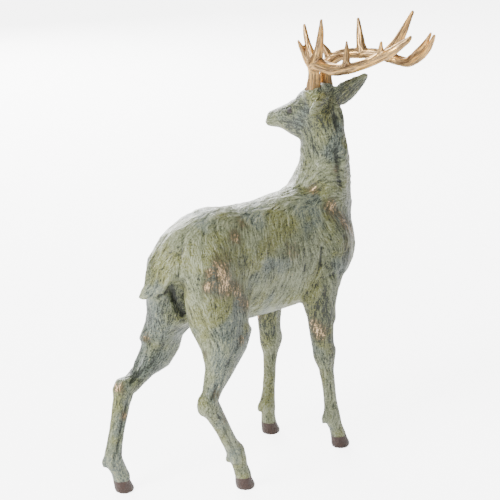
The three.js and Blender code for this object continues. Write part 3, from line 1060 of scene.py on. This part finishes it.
# From, to, and how strong the colour is at both
OLIVE_ON = (0.46, 0.6, 0.0, 0.85)
BLUE_ON = (0.5, 0.62, 0.0, 0.85)
PALE_ON = (0.74, 1.25, 0.0, 0.85)
DARK_ON = (0.72, 0.25, 0.0, 0.9)
SCRATCH_ON = (0.32, 0.1, 0.0, 0.7)
# dark paint in the folds, partly dark ground and partly painted shade
FOLD_SHADE_ON = (0.0, 0.5, 0.0, 0.8)
UMBER_ON = (0.15, 0.6, 0.0, 0.75)
BRONZE_ON = (1.85, 2.15, 0.0, 0.8)
COPPER_ON = (2.2, 2.5, 0.0, 1.0)
# The same for the top of the hooves, in metres above the ground
HOOF_ON = (0.0128, 0.0142, 1.0, 0.0)
# From, to, and the roughness at both
SATIN = (0.4, 1.1, 0.5, 0.28)


def greens(tree, take):
    """Sage green with clouds of olive and of blue-grey."""
    olive = speckle(tree, take["Place"], OLIVE_CLOUDS, 4.0)
    blue = speckle(tree, take["Place"], BLUE_CLOUDS, 4.0)
    olive = weighed(tree, olive, (take["Blue"], -0.12))
    blue = weighed(tree, blue, (take["Blue"], 0.12))
    green = blend(tree, ranged(tree, olive, *OLIVE_ON), SAGE, OLIVE)
    return blend(tree, ranged(tree, blue, *BLUE_ON), green, BLUE_GREY)


def paint_caught(tree, take, patch, speck):
    """How much pale paint the brush left: patches, strokes and specks, less in the hollows. The
    painted light and shade of the paleness attribute add to it.
    """
    return weighed(
        tree,
        -1.02,
        (patch, 0.7),
        (speck, 1.7),
        (take["Marks"], 0.6),
        (take["Fine marks"], 0.6),
        (take["Stroke"], 0.05),
        (take["Lock"], 0.03),
        (take["Dab"], 0.08),
        (take["Hollow"], -0.24),
        # painted light and shade from the patches, with the paint's own paler and darker tone
        (take["Pale"], 0.38),
    )


def dark_lines(tree, take, patch, colour):
    """The colour with thin scratches along the hair, and the folds darkened: partly the dark ground
    that the brush didn't reach, partly painted shade in the creases.
    """
    scratch = weighed(tree, 0.25, (patch, -0.5))
    scratch = maths(tree, "SUBTRACT", take["Scratches"], scratch)
    colour = blend(tree, ranged(tree, scratch, *SCRATCH_ON), colour, DARK)
    # painted shade and dark ground in the folds, broken by the brush marks
    fold = weighed(tree, take["Fold"], (take["Marks"], -0.5))
    return blend(tree, ranged(tree, fold, *FOLD_SHADE_ON), colour, DARK)


def copper_wax(tree, take, patch, speck, colour):
    """The colour with umber round the rubbed places and copper on their ridges; the copper too."""
    wax = weighed(
        tree,
        -1.1,
        (speck, 2.2),
        (take["Marks"], 1.1),
        (take["Fine marks"], 0.9),
        (take["Hollow"], -0.25),
        (take["Rubbed"], 1.25),
    )
    under = weighed(tree, -0.75, (patch, 0.8), (speck, 1.2), (take["Marks"], -0.5))
    under = maths(tree, "ADD", under, take["Rubbed"])
    colour = blend(tree, ranged(tree, under, *UMBER_ON), colour, UMBER)
    colour = blend(tree, ranged(tree, wax, *BRONZE_ON), colour, BRONZE)
    copper = ranged(tree, wax, *COPPER_ON)
    return blend(tree, copper, colour, COPPER), copper


# %% The patina as a node group
def patina():
    """The green finish, from what the carving left on the mesh."""
    measures = ("Height", "Hollow", "Stroke", "Lock", "Dab", "Fold", "Pale", "Blue", "Rubbed", "Eye")
    tree, given, result = new_group(
        "Patina",
        [("Place", "NodeSocketVector", None)]
        + [(name, "NodeSocketFloat", 0.5) for name in ("Marks", "Fine marks", "Scratches")]
        + [(name, "NodeSocketFloat", 0.0) for name in measures],
        [("Color", "NodeSocketColor")]
        + [(name, "NodeSocketFloat") for name in ("Roughness", "Metal", "Relief")],
    )
    take = given.outputs
    patch = speckle(tree, take["Place"], PATCH_GRAINS, 5.0)
    speck = speckle(tree, take["Place"], SPECK_GRAINS, 2.0)
    caught = paint_caught(tree, take, patch, speck)
    colour = blend(tree, ranged(tree, caught, *PALE_ON), greens(tree, take), PALE)
    colour = blend(tree, ranged(tree, caught, *DARK_ON), colour, DARK)
    colour = dark_lines(tree, take, patch, colour)
    colour, copper = copper_wax(tree, take, patch, speck, colour)
    edge = weighed(tree, take["Height"], (take["Marks"], 0.001))
    colour = blend(tree, ranged(tree, edge, *HOOF_ON), colour, HOOF)
    colour = blend(tree, take["Eye"], colour, EYE_DARK)
    connect(tree, result.inputs["Color"], colour)
    rough = weighed(tree, ranged(tree, caught, *SATIN), (take["Eye"], 0.1))
    connect(tree, result.inputs["Roughness"], rough)
    connect(tree, result.inputs["Metal"], maths(tree, "MULTIPLY", copper, 0.75))
    relief = weighed(tree, take["Fine marks"], (speck, 1.4), (take["Marks"], 1.2))
    connect(tree, result.inputs["Relief"], relief)
    return tree


def patina_material():
    """Green patina on resin, satin."""
    finish, tree, place, coat = begin_finish(
        "Green patina",
        patina(),
        [("Marks", 480.0, 0.006), ("Fine marks", 900.0, 0.0025), ("Scratches", 480.0, 0.02)],
        ("Hollow", "Stroke", "Lock", "Dab", "Fold", "Pale", "Blue", "Rubbed", "Eye"),
    )
    split = tree.nodes.new("ShaderNodeSeparateXYZ")
    connect(tree, split.inputs[0], place)
    connect(tree, coat.inputs["Height"], split.outputs["Z"])
    shader = end_finish(tree, coat, 0.0006, 1.0)
    connect(tree, shader.inputs["Metallic"], coat.outputs["Metal"])
    shader.inputs["Coat Weight"].default_value = 0.2
    shader.inputs["Coat Roughness"].default_value = 0.22
    return finish


PATINA = patina_material()
print("the patina group has", len(bpy.data.node_groups["Patina"].nodes), "nodes")


# %% [markdown]
# ## The gilding
#
# The antlers are painted antique gold over brown. The brown stays in the furrows and the gold is
# paler on the ridges. One value, high on the ridges and low in the furrows, mixes the three colours.
# Gold leaf would be a plain metal, but gold paint is duller, so it is not quite metallic.

# %% Gilding colours
GOLD = (0.46, 0.3, 0.15, 1)
PALE_GOLD = (1.0, 0.57, 0.17, 1)
BROWN = (0.1, 0.055, 0.028, 1)


# From, to, and how strong the colour is at both
RIDGES_ON = (0.72, 1.1, 0.0, 0.95)
FURROWS_ON = (0.66, 0.26, 0.0, 0.85)
# From, to, and the roughness at both
SEMI_GLOSS = (0.3, 1.1, 0.5, 0.3)


def gilding():
    """Antique gold, brown in the furrows."""
    tree, given, result = new_group(
        "Gilding",
        [
            ("Place", "NodeSocketVector", None),
            ("Marks", "NodeSocketFloat", 0.5),
            ("Furrow", "NodeSocketFloat", 0.0),
            ("Hollow", "NodeSocketFloat", 0.0),
        ],
        [
            ("Color", "NodeSocketColor"),
            ("Roughness", "NodeSocketFloat"),
            ("Relief", "NodeSocketFloat"),
        ],
    )
    take = given.outputs
    cloud = speckle(tree, take["Place"], 30.0, 2.0)
    high = weighed(tree, take["Marks"], (take["Furrow"], 0.14), (take["Hollow"], -0.35), (cloud, 0.4))
    colour = blend(tree, ranged(tree, high, *RIDGES_ON), GOLD, PALE_GOLD)
    colour = blend(tree, ranged(tree, high, *FURROWS_ON), colour, BROWN)
    connect(tree, result.inputs["Color"], colour)
    connect(tree, result.inputs["Roughness"], ranged(tree, high, *SEMI_GLOSS))
    connect(tree, result.inputs["Relief"], take["Marks"])
    return tree


def gilded_material():
    """Antique gold paint, semi-gloss."""
    marks = [("Marks", 900.0, 0.006)]
    finish, tree, _, coat = begin_finish("Antique gold", gilding(), marks, ("Furrow", "Hollow"))
    shader = end_finish(tree, coat, 0.0003, 0.5)
    shader.inputs["Metallic"].default_value = 0.85
    return finish


GILDING = gilded_material()
print("the gilding group has", len(bpy.data.node_groups["Gilding"].nodes), "nodes")


# %% Finishes on the pieces
def place_piece(piece, node, finish):
    """Gives a piece its finish and its part of the frame."""
    piece.data.materials.append(finish)
    piece.data.shade_smooth()
    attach(piece, "root")
    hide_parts(node)
    print(piece.name, "wears", finish.name)


place_piece(body, "body", PATINA)
for side, piece in antlers.items():
    place_piece(piece, "antler_" + side, GILDING)

# %% [markdown]
# ## The portrait
#
# The camera stands behind the animal's right hip, a little above its back, far off so that the legs
# stay upright. A studio would put the figurine on white paper in a bright room, so the floor is a
# paper that glows a little. A soft lamp high on the left of the picture shapes the body, and a wide
# one behind it lights the back and the edges.

# %% Camera
TARGET = Vector((BODY_FORWARD, BODY_LEFT, 220.5)) * MM
CAMERA_TURN, CAMERA_RISE = math.radians(-48), math.radians(17)
CAMERA_AWAY = 2.4
FOCAL, SENSOR = 178.0, 36


def camera():
    """Looks at the middle of the figurine from its right haunch."""
    lens = bpy.data.cameras.new("Camera")
    lens.lens = FOCAL
    lens.sensor_width = SENSOR
    eye = bpy.data.objects.new("Camera", lens)
    bpy.context.scene.collection.objects.link(eye)
    back = Vector(
        (
            math.sin(CAMERA_TURN) * math.cos(CAMERA_RISE),
            -math.cos(CAMERA_TURN) * math.cos(CAMERA_RISE),
            math.sin(CAMERA_RISE),
        )
    )
    eye.location = TARGET + CAMERA_AWAY * back
    eye.rotation_euler = (-back).to_track_quat("-Z", "Y").to_euler()
    bpy.context.scene.camera = eye


camera()
print("the camera stands at", [round(v, 2) for v in bpy.context.scene.camera.location])

# %% Floor
FLOOR_SIZE, FLOOR_DROP = 16, 0.0002
# How bright the paper looks to the camera, on top of what it casts
GLOW_SEEN, GLOW_CAST = 5.2, 0.5


def floor():
    """White paper that glows for the camera."""
    bpy.ops.mesh.primitive_plane_add(size=FLOOR_SIZE, location=(0, 0, -FLOOR_DROP))
    ground = bpy.context.object
    ground.name = "Floor"
    paper = bpy.data.materials.new("White paper")
    paper.use_nodes = True
    shader = paper.node_tree.nodes["Principled BSDF"]
    shader.inputs["Base Color"].default_value = (0.9, 0.9, 0.9, 1)
    shader.inputs["Roughness"].default_value = 0.9
    shader.inputs["Emission Color"].default_value = (1, 1, 1, 1)
    seen = paper.node_tree.nodes.new("ShaderNodeLightPath").outputs["Is Camera Ray"]
    glow = maths(paper.node_tree, "MULTIPLY_ADD", seen, GLOW_SEEN, GLOW_CAST)
    connect(paper.node_tree, shader.inputs["Emission Strength"], glow)
    ground.data.materials.append(paper)


floor()
print("the floor is", FLOOR_SIZE, "m wide")

# %% Light
ROOM_LIGHT = 0.35
LAMPS = [
    # title, place and width in metres, power in watts
    ("Key", (-1.5, 0.05, 1.35), 0.7, 46),
    ("Rim", (0.9, 1.6, 0.9), 1.5, 70),
]


def lamp(title, place, width, power):
    """A round soft lamp turned to the figurine."""
    light = bpy.data.lights.new(title, "AREA")
    light.shape = "DISK"
    light.size = width
    light.energy = power
    holder = bpy.data.objects.new(title, light)
    bpy.context.scene.collection.objects.link(holder)
    holder.location = place
    holder.rotation_euler = (TARGET - Vector(place)).to_track_quat("-Z", "Y").to_euler()
    holder.visible_camera = False


def room():
    """Pale walls all round."""
    world = bpy.data.worlds.new("Pale room")
    world.use_nodes = True
    walls = world.node_tree.nodes["Background"]
    walls.inputs["Color"].default_value = (1, 1, 1, 1)
    walls.inputs["Strength"].default_value = ROOM_LIGHT
    bpy.context.scene.world = world


room()
for row in LAMPS:
    lamp(*row)
print(len(LAMPS), "lamps of", sum(power for *_, power in LAMPS), "watts together")
